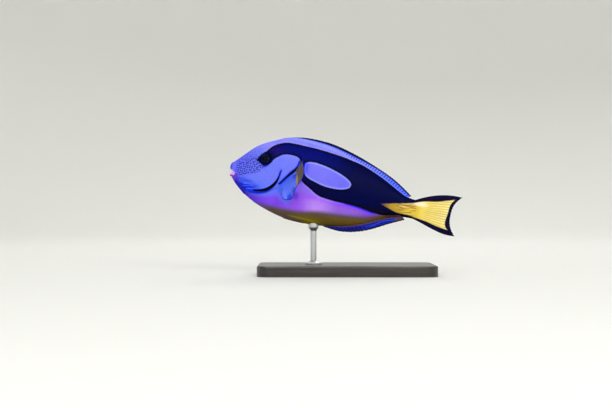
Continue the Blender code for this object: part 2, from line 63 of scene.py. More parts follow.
# The body seen from the side, its width and the roundness of its sections, as in the solids
body = {
    "back": [(0, 7.4), (2, 9.4), (6, 13.6), (10, 17.9), (14, 22), (17, 24.8), (20, 27.1),
             (26, 30.6), (32, 33.5), (38, 35.8), (47, 36.9), (58, 37), (72, 36), (87, 33.6),
             (102, 30), (116, 25.4), (130, 19.4), (142, 13.2), (151, 9.3), (158, 8.2)],
    "belly": [(0, -2.6), (4, -7.4), (11, -13.6), (22, -20.4), (35, -25.5), (49, -29.1),
              (66, -30.6), (85, -29.6), (99, -27), (113, -22.9), (126, -17.3), (138, -12),
              (148, -8.7), (158, -8)],
    "halfWidth": [(0, 2.7), (4, 4.5), (10, 6.5), (18, 8.8), (30, 11.2), (44, 12.7), (60, 13.1),
                  (78, 12.2), (98, 10.1), (118, 7.4), (136, 5), (148, 3.6), (158, 2.2)],
    "level": [(0, 0.2), (14, 1), (30, 2.4), (60, 2.8), (100, 3), (130, 1.6), (158, 0.2)],
    "backRoundness": [(0, 2.1), (20, 2.1), (45, 1.85), (90, 1.7), (135, 1.8), (158, 2)],
    "bellyRoundness": [(0, 2.1), (30, 2.2), (70, 2.15), (110, 1.9), (135, 1.9), (158, 2)],
}


def smoothCurve(points):  # a natural cubic through (place, value) pairs
    x, y = np.array(points, float).T
    step = np.diff(x)
    count = len(x)
    system, right = np.eye(count), np.zeros(count)
    for i in range(1, count - 1):
        system[i, i - 1:i + 2] = step[i - 1], 2 * (step[i - 1] + step[i]), step[i]
        right[i] = 6 * ((y[i + 1] - y[i]) / step[i] - (y[i] - y[i - 1]) / step[i - 1])
    bend = np.linalg.solve(system, right)

    def value(place):
        p = np.clip(place, x[0], x[-1])
        i = np.clip(np.searchsorted(x, p) - 1, 0, count - 2)
        before, after = p - x[i], x[i + 1] - p
        cubic = (bend[i] * after ** 3 + bend[i + 1] * before ** 3) / (6 * step[i])
        return (cubic + (y[i] / step[i] - bend[i] * step[i] / 6) * after
                + (y[i + 1] / step[i] - bend[i + 1] * step[i] / 6) * before)

    return value


def smoothPath(points):  # a smooth line through points, from 0 at the first to 1 at the last
    points = np.array(points, float)
    along = np.concatenate([[0], np.cumsum(np.linalg.norm(np.diff(points, axis=0), axis=1))])
    along /= along[-1]
    parts = [smoothCurve(np.stack([along, column], axis=1)) for column in points.T]
    return lambda t: np.stack([part(t) for part in parts], axis=-1)


def outline(*edges, count=64):  # smooth edges one after the other, with the corners between kept
    return np.concatenate([smoothPath(edge)(np.linspace(0, 1, count)) for edge in edges])


def ease(low, high, value):  # 0 at low and before it, 1 at high and past it, smooth between
    t = np.clip((value - low) / (high - low), 0, 1)
    return t * t * (3 - 2 * t)


def bell(value, width):  # 1 at 0, falling away on both sides
    return np.exp(-(value / width) ** 2)


back, belly, halfWidth, level, backRoundness, bellyRoundness = map(smoothCurve, body.values())


def toRow(points):  # from the fish's frame in mm to the model's in metres
    x, y, z = np.moveaxis(np.asarray(points, float), -1, 0)
    c, s = math.cos(pose["pitch"]), math.sin(pose["pitch"])
    return np.stack([pose["snoutX"] + x * c + z * s, y, pose["snoutHeight"] - x * s + z * c],
                    axis=-1) * mm


def flankWidth(station, height):  # half the body's width at a height
    middle = level(station)
    over = height >= middle
    reach = np.where(over, back(station) - middle, middle - belly(station))
    power = np.where(over, backRoundness(station), bellyRoundness(station))
    share = np.clip(np.abs(height - middle) / reach, 0, 1)
    return halfWidth(station) * (1 - share ** power) ** (1 / power)


def flankPoint(station, height, side):
    return np.stack([station, side * flankWidth(station, height), height], axis=-1)


def flankNormal(station, height, side):
    along = flankPoint(station + 0.5, height, side) - flankPoint(station - 0.5, height, side)
    up = flankPoint(station, height + 0.5, side) - flankPoint(station, height - 0.5, side)
    normal = np.cross(along, up)
    normal /= np.linalg.norm(normal)
    return normal * side * np.sign(normal[1])


def distanceTo(points, line, closed=False):  # closed: positive inside
    best = np.full(len(points), 1e9)
    inside = np.zeros(len(points), bool)
    ends = np.roll(line, -1, axis=0) if closed else line[1:]
    for start, end in zip(line, ends):
        run = end - start
        length = run @ run
        if length < 1e-9:
            continue
        share = np.clip((points - start) @ run / length, 0, 1)
        best = np.minimum(best, np.linalg.norm(points - start - share[:, None] * run, axis=1))
        if closed and run[1]:
            crosses = (start[1] > points[:, 1]) != (end[1] > points[:, 1])
            reach = start[0] + (points[:, 1] - start[1]) * run[0] / run[1]
            inside ^= crosses & (points[:, 0] < reach)
    return np.where(inside, best, -best) if closed else best


def offsetFrom(points, line):  # distance from an open line, positive on its left
    nearest = np.argmin(((points[:, None] - line[None]) ** 2).sum(axis=2), axis=1)
    run = np.gradient(line, axis=0)[nearest]
    offset = points - line[nearest]
    return distanceTo(points, line) * np.sign(offset[:, 0] * run[:, 1] - offset[:, 1] * run[:, 0])


# Mesh work

def deselectAll():
    for item in bpy.context.view_layer.objects:
        item.select_set(False)


def activate(piece):
    deselectAll()
    piece.select_set(True)
    bpy.context.view_layer.objects.active = piece


def gridPiece(name, columns, rows):  # a flat grid, and each point's share across and along it
    deselectAll()
    bpy.ops.mesh.primitive_grid_add(x_subdivisions=columns, y_subdivisions=rows, size=1)
    piece = bpy.context.object
    piece.name = piece.data.name = name
    flat = np.zeros(len(piece.data.vertices) * 3)
    piece.data.vertices.foreach_get("co", flat)
    flat = flat.reshape(-1, 3) + 0.5
    return piece, flat[:, 0], flat[:, 1]


def placePoints(piece, points):
    piece.data.vertices.foreach_set("co", points.astype(np.float32).ravel())
    piece.data.update()


def addField(piece, name, values):  # a number, or a place, kept on each point for the materials
    kind = "FLOAT_VECTOR" if values.ndim == 2 else "FLOAT"
    field = piece.data.attributes.new(name, kind, "POINT")
    field.data.foreach_set("vector" if values.ndim == 2 else "value",
                           values.astype(np.float32).ravel())


def faceOutward(piece, seam=None):  # points nearer than seam become one first
    activate(piece)
    bpy.ops.object.mode_set(mode="EDIT")
    bpy.ops.mesh.select_all(action="SELECT")
    if seam:
        bpy.ops.mesh.remove_doubles(threshold=seam)
    bpy.ops.mesh.normals_make_consistent(inside=False)
    bpy.ops.object.mode_set(mode="OBJECT")


def applyModifier(piece, kind, **settings):
    activate(piece)
    modifier = piece.modifiers.new(kind.lower(), kind)
    for name, value in settings.items():
        setattr(modifier, name, value)
    bpy.ops.object.modifier_apply(modifier=modifier.name)


def sided(name, side):
    return name + ("_left" if side < 0 else "_right")


def finishPiece(piece, material, slot, *nodes):
    piece.data.materials.clear()
    piece.data.materials.append(material)
    piece.data.shade_smooth()
    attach(piece, "root")
    if nodes:
        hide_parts(*nodes)
    print(piece.name, len(piece.data.polygons), "faces")


# Material work

def linearColour(code):  # "#rrggbb" as sRGB, to linear
    parts = [int(code[i:i + 2], 16) / 255 for i in (1, 3, 5)]
    return tuple(p / 12.92 if p <= 0.04045 else ((p + 0.055) / 1.055) ** 2.4
                 for p in parts) + (1.0,)


def newMaterial(name):
    material = bpy.data.materials.new(name)
    material.use_nodes = True
    return material, material.node_tree, material.node_tree.nodes["Principled BSDF"]


def fillInputs(tree, node, inputs):  # each with a link or a value
    for name, value in inputs.items():
        if isinstance(value, bpy.types.NodeSocket):
            tree.links.new(value, node.inputs[name])
        else:
            node.inputs[name].default_value = value


def addNode(tree, kind, inputs=None, **settings):
    node = tree.nodes.new(kind)
    for name, value in settings.items():
        setattr(node, name, value)
    fillInputs(tree, node, inputs or {})
    return node


def paint(tree, under, *layers):
    # A layer is what it reads, where that starts and ends to cover, its colour and its strength
    for reading, low, high, colour, *strength in layers:
        if isinstance(reading, str):
            reading = addNode(tree, "ShaderNodeAttribute", attribute_name=reading).outputs["Fac"]
        mask = addNode(tree, "ShaderNodeMapRange", {
            "Value": reading, "From Min": low, "From Max": high,
            "To Max": strength[0] if strength else 1.0}, interpolation_type="SMOOTHSTEP")
        under, colour = [linearColour(c) if isinstance(c, str) else c for c in (under, colour)]
        under = addNode(tree, "ShaderNodeMix", {0: mask.outputs[0], 6: under, 7: colour},
                        data_type="RGBA").outputs[2]
    return under


# Markings, seen from the side: distance from the snout and height, in mm
gillEdge = smoothPath([
    (45, 46), (49.5, 34), (54.4, 27), (56.4, 20.5), (54.8, 13), (49, 5.2), (42.8, -3.4),
    (36.5, -8.8), (29.5, -11.6), (21.5, -13.4), (15, -16.8), (9, -25)])(np.linspace(0, 1, 90))
cheekEdge = smoothPath([
    (41.3, 12.5), (41, 9), (40.8, 5.5), (39.9, 0.3), (36.8, -5.2), (32.2, -9), (25.1, -11.2),
    (19.3, -11.6)])(np.linspace(0, 1, 60))
pectoralBase = ((56.6, 10.8), (46.2, -5.6))

palette = outline(  # the black marking with its hole not yet taken out
    [(19.4, 13.9), (20.6, 16.6), (23.4, 20.1), (26.9, 23.8), (29.7, 27.3), (33.8, 30.3),
     (39.2, 32.8), (45, 33.9), (54, 33.9), (66, 33.7), (78, 32.8), (90, 31.4), (102, 29.3),
     (114, 26.5), (126, 21.7), (138, 15.4), (150, 10.4)],
    [(150, 10.4), (156, 14)], [(210, 40), (210, -40)],
    [(153, -20), (150, -7.6), (144, -8), (138, -9.4), (131, -10.4), (126, -9.9), (120, -9.1),
     (114, -8.1), (102, -7.2), (90, -6.9), (84, -6.5), (78, -5.5), (72, -2.9), (67.5, -0.2),
     (62.4, 2.7), (59.4, 5.3)],
    [(59.4, 5.3), (57.6, 12), (56.4, 17.5), (55.9, 20.6), (54.2, 22.4), (50.5, 23.7), (45.5, 23.8),
     (41, 22.9), (36.6, 19.9), (33.4, 16.8), (32.1, 14.2), (29.8, 11.6), (27.4, 10.5),
     (24.3, 11), (22, 12.5), (19.4, 13.9)])
oval = outline([(59.9, 15), (59.9, 18), (60.4, 20), (62.4, 21), (66, 21.7), (72, 21.5),
        (78, 20.6), (84, 19.2), (90, 17.4), (96, 15), (100.3, 12.5), (102.4, 9.8),
        (102, 7.4), (99.8, 5.5), (96, 4.1), (90, 3.3), (84, 3.3), (78, 4), (72, 5.5),
        (66, 7.3), (62.7, 9.3), (60.8, 11.9), (59.9, 15)], count=120)
tailYellow = outline([(130, -0.9), (138, 0.8), (148, 3.1), (158, 5.6), (165.3, 8.2), (175.4, 10.2),
            (185.3, 13.1), (191.4, 15.2)],
            [(191.4, 15.2), (188.9, 11.2), (187.5, 1.2), (187.7, -8.8), (190.3, -11.4)],
            [(190.3, -11.4), (185.6, -10.9), (181.3, -10.1), (176, -9), (170.9, -7.9),
            (161, -6.6), (152.7, -5.7), (144.8, -5.5), (139.2, -4), (133.5, -2.3),
            (130, -0.9)])
violetTop = smoothCurve([
    (-6, -2), (0, -5), (8, -9.8), (16, -14), (24, -15), (33, -14.2), (42, -10.4),
    (50, -4), (57, 1.5), (62, 3.6), (67, 1.8), (75, -2), (90, -5), (112, -7), (132, -8),
    (150, -5), (170, -5)])
yellowTop = smoothCurve([
    (-6, -30), (18, -22), (26, -20.8), (32, -20.8), (42, -21.3), (54, -21.2), (66, -20.3),
    (78, -18), (90, -17), (102, -16), (112, -14.9), (120, -13.7), (126, -12),
    (132, -9.2), (138, -7.2), (144, -6.2), (150, -5.8), (160, -5)])

# Soft patches of paint. A spot has its place and size, a line its width, a band the reading that it
# follows, its middle and width. Each window is a reading, where the patch is gone and where full
patches = {
    # A cream patch at the upper root of the tail: a painted highlight
    "paintedTailHighlight": {"spot": (163.5, 5.6, 6.5, 2.4)},
    "keel": {"line": [(46, -26.6), (57, -26.8), (69, -27), (78, -27.4), (92, -26.2)],
        "width": 0.7, "windows": [("station", 50, 60), ("station", 86, 74)]},
    "marbled": {"spot": (33.5, 25, 5.5, 5)},
    "nearEye": {"spot": (27.4, 16, 8.6, 8.6)},
    # A darker violet spot behind the pectoral fin: a painted shadow of the fin
    "paintedFinShadow": {"spot": (58.5, -9.5, 2.6, 3.4)},
    "underFin": {"line": [(39, -7.6), (46, -13.2), (53.5, -16.4)], "width": 2.6},
    "finFoot": {"line": [(55, 10.4), (44.6, -6)], "width": 3.6,
        "windows": [("gill", 1.4, -0.6), ("height", 11, 6)]},
    "wedgeFoot": {"windows": [("gill", 0.6, -0.2), ("station", 60.2, 59.2), ("height", 9, 11.5),
            ("height", 24, 21)]},
    "chinTip": {"windows": [("station", 10, 5), ("height", 0.6, -2.2)]},
}
# The blue fringe just outside the black and the pale rims along it, and where each shows
rearBelly = [("height", 2, -8), ("station", 62, 72), ("station", 131, 124)]
edging = {
    "yellowOverlap": 1.5, "fringe": (-0.45, 0.75), "ovalRim": (0.9, 0.7), "bandRim": (-0.8, 0.8),
    "fringeShows": [
        (1, {"band": ("station", 60.3, 3), "windows": [("height", 6, 12), ("height", 22, 20)]}),
        (0.3, {"windows": rearBelly}), (0.7, {"windows": rearBelly + [("station", 80, 112)]}),
        (1, {"spot": (27, 9.5, 5, 5)})],
    "lowerRim": (4, 0.7, [("station", 58, 64), ("station", 112, 96)]),
    "upperRim": (6, 1, [("station", 84, 100)]),
}
face = {
    # Dark lines before the gill cover's edge and along the cheek, with half their widths
    "gillAhead": 1, "gillSoft": 0.3, "gillShows": [("height", -3.6, -2), ("height", 22, 19.5)],
    "gillHalf": [(-4, 0.5), (3, 0.62), (8, 0.85), (10.5, 1.05), (14, 0.5), (18, 0.22), (22, 0.2)],
    "cheekShows": [("height", 11.5, 6), ("station", 19, 23)], "cheekSoft": 0.35,
    "cheekHalf": 0.35, "cheekLow": (0.95, ("height", 6, -4)),
    "cheekFront": (0.75, ("station", 34, 20)),
    # The deep blue under the cheek, and its weaker halo along the gill line
    "halo": 1.1, "haloStrength": 0.8, "haloBehind": ("height", 12, 7),
    "glowPath": [(7, -5.6), (10.5, -8.6), (15, -10.6), (20, -11.9), (26, -12), (32, -10.3),
        (37, -6.2), (40.3, -0.5), (41.4, 5), (41.8, 9.5)],
    "glowHalf": [(0, 1.6), (12, 2.9), (19, 3.3), (25, 2.9), (31, 2.3), (37, 1.6), (41, 0.9),
        (45, 0.9)],
    "glowFront": (0.5, ("station", 8, 14)),
    "streaks": (16, -7.8, 9, 3.4), "streakSink": 0.2, "streakStrength": 1.6,
    "chinUp": 1, "chinHalf": (3, 0.11), "chinShows": [("station", 3, 7), ("station", 21, 14)],
    # Freckles lie between two curves of height, strongest low down
    "frecklesTop": [(0, 9.5), (6, 15.5), (14, 20.5), (22, 22.5), (34, 24)],
    "frecklesLow": [(0, -1), (5, -1.5), (10.6, -1.6), (16, 0.9), (21.6, 2.9), (26, 6.6),
        (31, 11)],
    "frecklesEdge": (-0.6, 0.9), "frecklesFade": 9, "frecklesFull": (-1, -8),
    "frecklesShow": [("station", 1.8, 4.6), ("station", 33, 27)],
    "frecklesStrong": ("station", 31, 24),
    "lipSplit": 0.2, "upperLip": ("station", 2.6, 0.6), "lowerLip": ("station", 4.8, 2),
    "lipsShow": [("height", 2.4, 1.2), ("height", -3.6, -2)],
}
photoView = {"distance": 1097, "centre": (68.2, -14.2)}


def asSeen(places):  # where the photo shows a point of the flank: the nearer, the larger
    grow = 1 / (1 - np.abs(places[:, 1]) / photoView["distance"])
    return photoView["centre"] + (places[:, [0, 2]] - photoView["centre"]) * grow[:, None]


def below(points, line):  # how far under a line that has one height at each station
    slope = (line(points[:, 0] + 1) - line(points[:, 0] - 1)) / 2
    return (line(points[:, 0]) - points[:, 1]) / np.sqrt(1 + slope ** 2)


def readings(places):  # what the windows and bands read
    side = asSeen(places)
    return {"side": side, "station": side[:, 0], "height": side[:, 1],
            "gill": offsetFrom(side, gillEdge)}


def within(at, *windows):  # 1 where all windows are open
    return math.prod(ease(gone, full, at[name]) for name, gone, full in windows)


def patch(at, spot=None, line=None, width=1.0, band=None, windows=()):
    field = np.ones(len(at["side"])) * within(at, *windows)
    if spot:
        station, height, long, high = spot
        field *= bell(np.hypot((at["station"] - station) / long, (at["height"] - height) / high), 1)
    if line:
        field *= bell(distanceTo(at["side"], np.array(line)), width)
    if band:
        field *= bell(at[band[0]] - band[1], band[2])
    return field


def addTailMarkings(piece, places):  # what the tail fin's paint reads
    at = readings(places)
    addField(piece, "yellow", distanceTo(at["side"], tailYellow, closed=True))
    addField(piece, "paintedTailHighlight", patch(at, **patches["paintedTailHighlight"]))


def addBodyMarkings(piece, at):
    side, height = at["side"], at["height"]
    inPalette, inOval, inYellow = [distanceTo(side, shape, closed=True)
                                   for shape in (palette, oval, tailYellow)]
    dark = np.minimum(inPalette, -inOval)
    dark = np.minimum(dark, edging["yellowOverlap"] - inYellow)  # it runs on under the yellow
    addField(piece, "dark", dark)
    addField(piece, "yellow", inYellow)
    addField(piece, "violet", below(side, violetTop))
    addField(piece, "gold", below(side, yellowTop))
    shows = sum(strength * patch(at, **where) for strength, where in edging["fringeShows"])
    middle, width = edging["fringe"]
    addField(piece, "fringe", bell(dark - middle, width) * np.clip(shows, 0, 1))
    top, lowStrength, lowWindows = edging["lowerRim"]
    bottom, highStrength, highWindows = edging["upperRim"]
    shows = (lowStrength * within(at, *lowWindows) * (height < top)
             + highStrength * within(at, *highWindows) * (height > bottom))
    (ovalMiddle, ovalWidth), (bandMiddle, bandWidth) = edging["ovalRim"], edging["bandRim"]
    addField(piece, "rim", bell(inOval - ovalMiddle, ovalWidth)
             + bell(inPalette - bandMiddle, bandWidth) * shows)
    for name, where in patches.items():
        addField(piece, name, patch(at, **where))


def addFaceMarkings(piece, at):
    side, station, height, gill = [at[name] for name in ("side", "station", "height", "gill")]
    shows = within(at, *face["gillShows"])
    half, soft = smoothCurve(face["gillHalf"])(height), face["gillSoft"]
    fromLine = np.abs(gill - face["gillAhead"])
    gillLine = ease(half + soft, half - soft, fromLine) * shows
    halo = bell(fromLine - half, face["halo"]) * shows
    halo *= np.where(gill > 0, 1, within(at, face["haloBehind"]))
    (low, lowWindow), (front, frontWindow) = face["cheekLow"], face["cheekFront"]
    half = face["cheekHalf"] + low * within(at, lowWindow) - front * within(at, frontWindow)
    soft = face["cheekSoft"]
    cheekLine = ease(half + soft, half - soft, distanceTo(side, cheekEdge))
    cheekLine *= within(at, *face["cheekShows"])
    addField(piece, "faceLine", np.maximum(gillLine, cheekLine))

    glowPath = smoothPath(face["glowPath"])(np.linspace(0, 1, 70))
    front, frontWindow = face["glowFront"]
    glow = bell(distanceTo(side, glowPath) / smoothCurve(face["glowHalf"])(station), 1)
    glow *= 1 - front + front * within(at, frontWindow)
    addField(piece, "glow", np.maximum(glow, face["haloStrength"] * halo))
    sunk = height + (station - face["streaks"][0]) * face["streakSink"]
    streaks = patch(dict(at, height=sunk), spot=face["streaks"])
    addField(piece, "streaks", np.clip(face["streakStrength"] * streaks, 0, 1))
    least, growth = face["chinHalf"]
    chin = bell((height - belly(station) - face["chinUp"]) / (least + growth * station), 1)
    addField(piece, "chin", chin * within(at, *face["chinShows"]))

    top, low = [smoothCurve(face[name])(station) for name in ("frecklesTop", "frecklesLow")]
    start, full = face["frecklesEdge"]
    freckles = ease(low + start, low + full, height) * within(at, *face["frecklesShow"])
    start, full = face["frecklesFull"]
    strong = ease(top + start, top + full, height) * within(at, face["frecklesStrong"])
    faded = ease(top + face["frecklesFade"], top, height)
    addField(piece, "freckles", freckles * np.clip((faded + strong) / 2, 0, 1))
    lips = np.where(height > face["lipSplit"], within(at, face["upperLip"]),
                    within(at, face["lowerLip"]))
    addField(piece, "lips", lips * within(at, *face["lipsShow"]))


# Skin

eye = {"place": (27, 16.1), "radius": 5.5, "depth": 3.6, "proud": 1.7, "opening": 4.9,
       "hollow": 3, "hollowEdge": (0.05, -0.75), "rim": (0.35, 0.5, 0.5), "cornea": (0.25, 2.8),
       "rings": [(2.2, 2.6, "#040C3A"), (2.6, 3.6, "#01072C"), (3.9, 4.4, "#00031C")]}
spine = {"place": (149.5, 0.3), "size": (10, 1.7, 2.3), "groove": 0.8, "grooveRoom": 0.5}
nostrils = {"places": [((18.8, 14.4), 0.75), ((20.8, 12.3), 0.6)], "depth": 0.9,
        "rim": (0.15, 0.3, 0.16)}
skin = {
    "around": 288, "headStep": 0.4, "bodyStep": 0.8, "headEnd": 62, "lipSteps": 4,
    "bodyEnd": 157.3, "tailWrap": 3.4, "tailSteps": 7, "tailLower": 0.05, "tailNarrower": 0.82,
    "seam": 0.02,
    # From inside the mouth out over the lips: how far back, how much further at the corners, reach
    # up and down from the mouth's line, and half the width
    "mouth": [(6, 0, 0, 0, 0), (4.6, 0.4, 0.4, 0.4, 1.8), (2.4, 1.8, 0.45, 0.45, 2.9),
        (0.9, 2.9, 0.3, 0.3, 3.45), (-0.55, 3.6, 1.1, 1, 3.8),
        (-1.15, 3.8, 3, 2.4, 4.05), (-1.15, 3.5, 5, 3.6, 4.2),
        (-0.5, 3.1, 6.9, 4.4, 4.25)],
    "lipsEnd": (1.2, 2.9), "cornerPower": 2.5, "cornerFade": 9, "lowerLipBack": 1.1,
    # Relief: place and width of each fold, then its height
    "gillLift": 0.9, "gillReach": 5, "gillTop": 27, "gillFade": 6, "gillStep": 0.8,
    "gillGroove": (-1.1, 0.7, 0.2), "cheekGroove": (-0.3, 0.6, 0.35), "cheekRise": (0.6, 2, 0.3),
    "cheekShows": [("height", 13, 8), ("station", 17, 22)], "finSwell": (2.2, 0.5),
    "lateralLine": [(50, 26), (70, 26.5), (95, 21.5), (120, 13), (140, 4), (158, 0.4)],
    "lateralSize": (0.5, 0.07), "lateralStart": ("station", 56, 60), "flankDepth": 3,
}


def skinRings():
    start, corner = skin["lipsEnd"]
    middle = float(level(2.0))
    behindLips = (start, corner, back(start) - middle, middle - belly(start),
                  halfWidth(start + corner))
    rows = np.array(skin["mouth"] + [behindLips])
    count = (len(rows) - 1) * skin["lipSteps"]
    curve = [smoothCurve(np.stack([np.arange(len(rows)), column], axis=1)) for column in rows.T]
    t = np.linspace(0, len(rows) - 1, count + 1)
    rings = [np.stack([c(t) for c in curve] + [np.full(len(t), middle)], axis=1)]
    rings[0][0, 2:5] = 0

    places = [start + skin["headStep"]]
    while places[-1] < skin["bodyEnd"]:
        grow = ease(skin["headEnd"] - 8, skin["headEnd"] + 8, places[-1])
        places.append(places[-1] + skin["headStep"]
                      + (skin["bodyStep"] - skin["headStep"]) * grow)
    places = np.array([p for p in places if p < skin["bodyEnd"] - 0.2] + [skin["bodyEnd"]])
    corner = corner * ease(skin["cornerFade"], start, places)
    middle = level(places)
    rings.append(np.stack([places, corner, back(places) - middle, middle - belly(places),
                           halfWidth(places + corner), middle], axis=1))

    wrap = np.append(np.linspace(0, 1, skin["tailSteps"] + 1)[1:], 1)
    end = np.tile(rings[-1][-1], (len(wrap), 1))
    end[:, 0] += wrap * skin["tailWrap"]
    end[:, 2:4] *= 1 - skin["tailLower"] * wrap[:, None]
    end[:, 4] *= 1 - skin["tailNarrower"] * wrap ** 0.8
    end[-1, 2:5] = 0  # the last ring closes
    rings.append(end)
    return np.concatenate(rings)


def skinRelief(places):  # how far each point of the flank stands out or in, in mm
    side = places[:, [0, 2]]
    station, height = side.T
    at = {"station": station, "height": height}
    gill = offsetFrom(side, gillEdge)
    fade = np.clip((skin["gillTop"] - height) / skin["gillFade"], 0, 1)
    cover = np.where(gill > 0, bell(gill, skin["gillReach"]), ease(-skin["gillStep"], 0, gill))
    middle, width, depth = skin["gillGroove"]
    relief = fade * (skin["gillLift"] * cover - depth * bell(gill - middle, width))

    cheek = offsetFrom(side, cheekEdge)
    shows = within(at, *skin["cheekShows"])
    middle, width, depth = skin["cheekGroove"]
    relief -= depth * bell(cheek - middle, width) * shows
    start, width, rise = skin["cheekRise"]
    relief += rise * bell(np.clip(cheek - start, 0, None), width) * shows * (cheek > 0)

    reach = np.hypot(station - eye["place"][0], height - eye["place"][1]) - eye["opening"]
    middle, width, rise = eye["rim"]
    relief += rise * bell(reach - middle, width)
    relief -= eye["hollow"] * ease(*eye["hollowEdge"], reach)
    middle, width, rise = nostrils["rim"]
    for place, radius in nostrils["places"]:
        reach = np.hypot(station - place[0], height - place[1])
        relief -= nostrils["depth"] * ease(radius, radius * 0.3, reach)
        relief += rise * bell(reach - radius - middle, width)

    width, rise = skin["finSwell"]
    relief += rise * bell(distanceTo(side, np.array(pectoralBase)), width)
    long, _, high = np.array(spine["size"]) / 2 + spine["grooveRoom"]
    ellipse = np.hypot((station - spine["place"][0]) / long, (height - spine["place"][1]) / high)
    relief -= spine["groove"] * ease(1.15, 0.8, ellipse)
    width, depth = skin["lateralSize"]
    fromLine = height - smoothCurve(skin["lateralLine"])(station)
    relief -= depth * bell(fromLine, width) * within(at, skin["lateralStart"])
    return relief * np.clip(np.abs(places[:, 1]) / skin["flankDepth"], 0, 1)


def skinMaterial():
    # Lacquered resin skin over cast scales: deep blue with a satin, slightly wet gleam
    material, tree, shader = newMaterial("lacqueredScaleSkin")
    place = addNode(tree, "ShaderNodeAttribute", attribute_name="place").outputs["Vector"]
    station, _, height = addNode(tree, "ShaderNodeSeparateXYZ", {0: place}).outputs
    streaks, gold, dark, yellow, freckles, marbled = [
        addNode(tree, "ShaderNodeAttribute", attribute_name=name).outputs["Fac"]
        for name in ("streaks", "gold", "dark", "yellow", "freckles", "marbled")]
    cloud, inkCloud, wobble = [
        addNode(tree, "ShaderNodeTexNoise", {"Vector": place, "Scale": scale,
                                             "Detail": 3.0}).outputs["Fac"]
        for scale in (0.16, 0.3, 0.9)]
    stretch = addNode(tree, "ShaderNodeMapping", {  # streaks lie level in the model's pose
        "Vector": place, "Rotation": (0, -pose["pitch"], 0), "Scale": (9.0, 9.0, 0.8)},
        vector_type="TEXTURE")
    streak = addNode(tree, "ShaderNodeTexNoise", {"Vector": stretch.outputs[0], "Scale": 0.9,
                                                 "Detail": 1.0}).outputs["Fac"]

    # Soft clouds a few millimetres across keep the blue from being one flat coat
    colour = paint(tree, "#6C76F0", (station, 54, 59, "#4642E8"), (station, 60, 67, "#7672F0"),
                   (station, 72, 98, "#6C68EA"), (height, 17, 30, "#8684F8"),
                   (station, 22, 6, "#6468EE"), (freckles, 0.4, 1.0, "#4654EC", 0.3),
                   (height, 2, -8, "#6076F2"), (cloud, 0.45, 0.8, "#5A6AF2", 0.4),
                   (streak, 0.38, 0.56, "#102AD8", streaks), ("streaks", 0.1, 0.9, "#3448E4", 0.6))

    # Violet belly: bluer at the throat, and darker there partly as painted shade, lilac under the
    # middle of the body, then a gold band, darkened to olive and brown underneath as painted shade
    rearViolet = paint(tree, "#8E5EDA", (height, -12.5, -9.5, "#8C46F2"))
    violet = paint(tree, "#A262FA", (height, -7, -13, "#BC8CF8"), (cloud, 0.4, 0.7, "#B47CF2", 0.5),
                   (station, 77, 97, rearViolet, 0.9), (station, 76, 60, "#A05CFC"),
                   (height, -9, -3, "#9676FF", 0.8), (station, 60, 44, "#804CF4"),
                   # the throat's darker, bluer violet is partly painted shade
                   (station, 108, 126, "#8244DE"), (station, 38, 18, "#5836DC"))
    # Painted shade: the gold underside drawn as dark olive, browner at the front, along the rear
    # keel and towards the tail
    deepShadedGold = paint(tree, "#625028", (station, 80, 96, "#6C561E"))
    keelShadedGold = paint(tree, "#7A6A16", (station, 78, 90, "#5E4A24"))
    shadedGold = paint(tree, "#605050", (gold, 1.5, 5.5, deepShadedGold), (height, -21, -29, keelShadedGold),
                  (station, 118, 130, "#644C34"), (station, 74, 54, "#625046"),
                  ("keel", 0.1, 0.9, "#8C8010"), (station, 130, 140, "#46301F"))
    throat = addNode(tree, "ShaderNodeMapRange", {
        "Value": station, "From Min": 16.0, "From Max": 40.0}).outputs[0]
    colour = paint(tree, colour, ("violet", -2.6, 2.6, violet), (gold, -1.7, 2.7, shadedGold, throat),
                   ("rim", 0.2, 0.9, "#98A4FF", 0.6), ("underFin", 0.1, 0.9, "#6672FA", 0.7),
                   # a painted shadow of the pectoral fin on the flank
                   ("paintedFinShadow", 0.0, 1.0, "#5428DC", 0.6),
                   ("glow", 0.1, 0.9, "#0A26D8"), (streak, 0.46, 0.35, "#4C6AF0", streaks),
                   ("chinTip", 0.0, 1.0, "#5E34CC", 0.85), ("chin", 0.1, 0.9, "#2012B4", 0.9),
                   ("fringe", 0.1, 0.9, "#1A2CF0"), ("finFoot", 0.15, 0.8, "#4A68F0"),
                   ("wedgeFoot", 0.3, 0.9, "#5E5038"))

    # The black marking: near black along its edges, deep indigo inside, marbled behind the eye,
    # with a scale-fine edge
    ink = paint(tree, "#020A6C", (height, 9, 1, "#03043A"), (station, 68, 108, "#00043C"),
                (height, -4.5, -7.0, "#0E0718", 0.8), (dark, 2.6, 0.5, "#00010C"),
                (inkCloud, 0.5, 0.75, "#02042A", 0.5),
                (wobble, 0.5, 0.6, "#2A0A66", marbled), (wobble, 0.46, 0.38, "#00011C", marbled),
                ("nearEye", 0.2, 0.75, "#000434"))
    # The yellow tail base, with a cream painted highlight at its upper root
    tail = paint(tree, "#E4C64C", (streak, 0.46, 0.58, "#A88434"), (height, 1.5, 5, "#C8AC74", 0.8),
                 (height, -4.5, -6.5, "#9C7C34", 0.7), ("paintedTailHighlight", 0.1, 0.9, "#FFF2CC"),
                 (station, 154, 140, "#B89634"), (station, 141, 131, "#6E4C38"))
    darkEdge, yellowEdge = [
        addNode(tree, "ShaderNodeMath", {0: wobble, 1: amount, 2: field},
                operation="MULTIPLY_ADD").outputs[0]
        for field, amount in ((dark, 0.9), (yellow, 1.1))]
    colour = paint(tree, colour, (darkEdge, 0.17, 0.73, ink), (yellowEdge, 0.25, 0.95, tail))

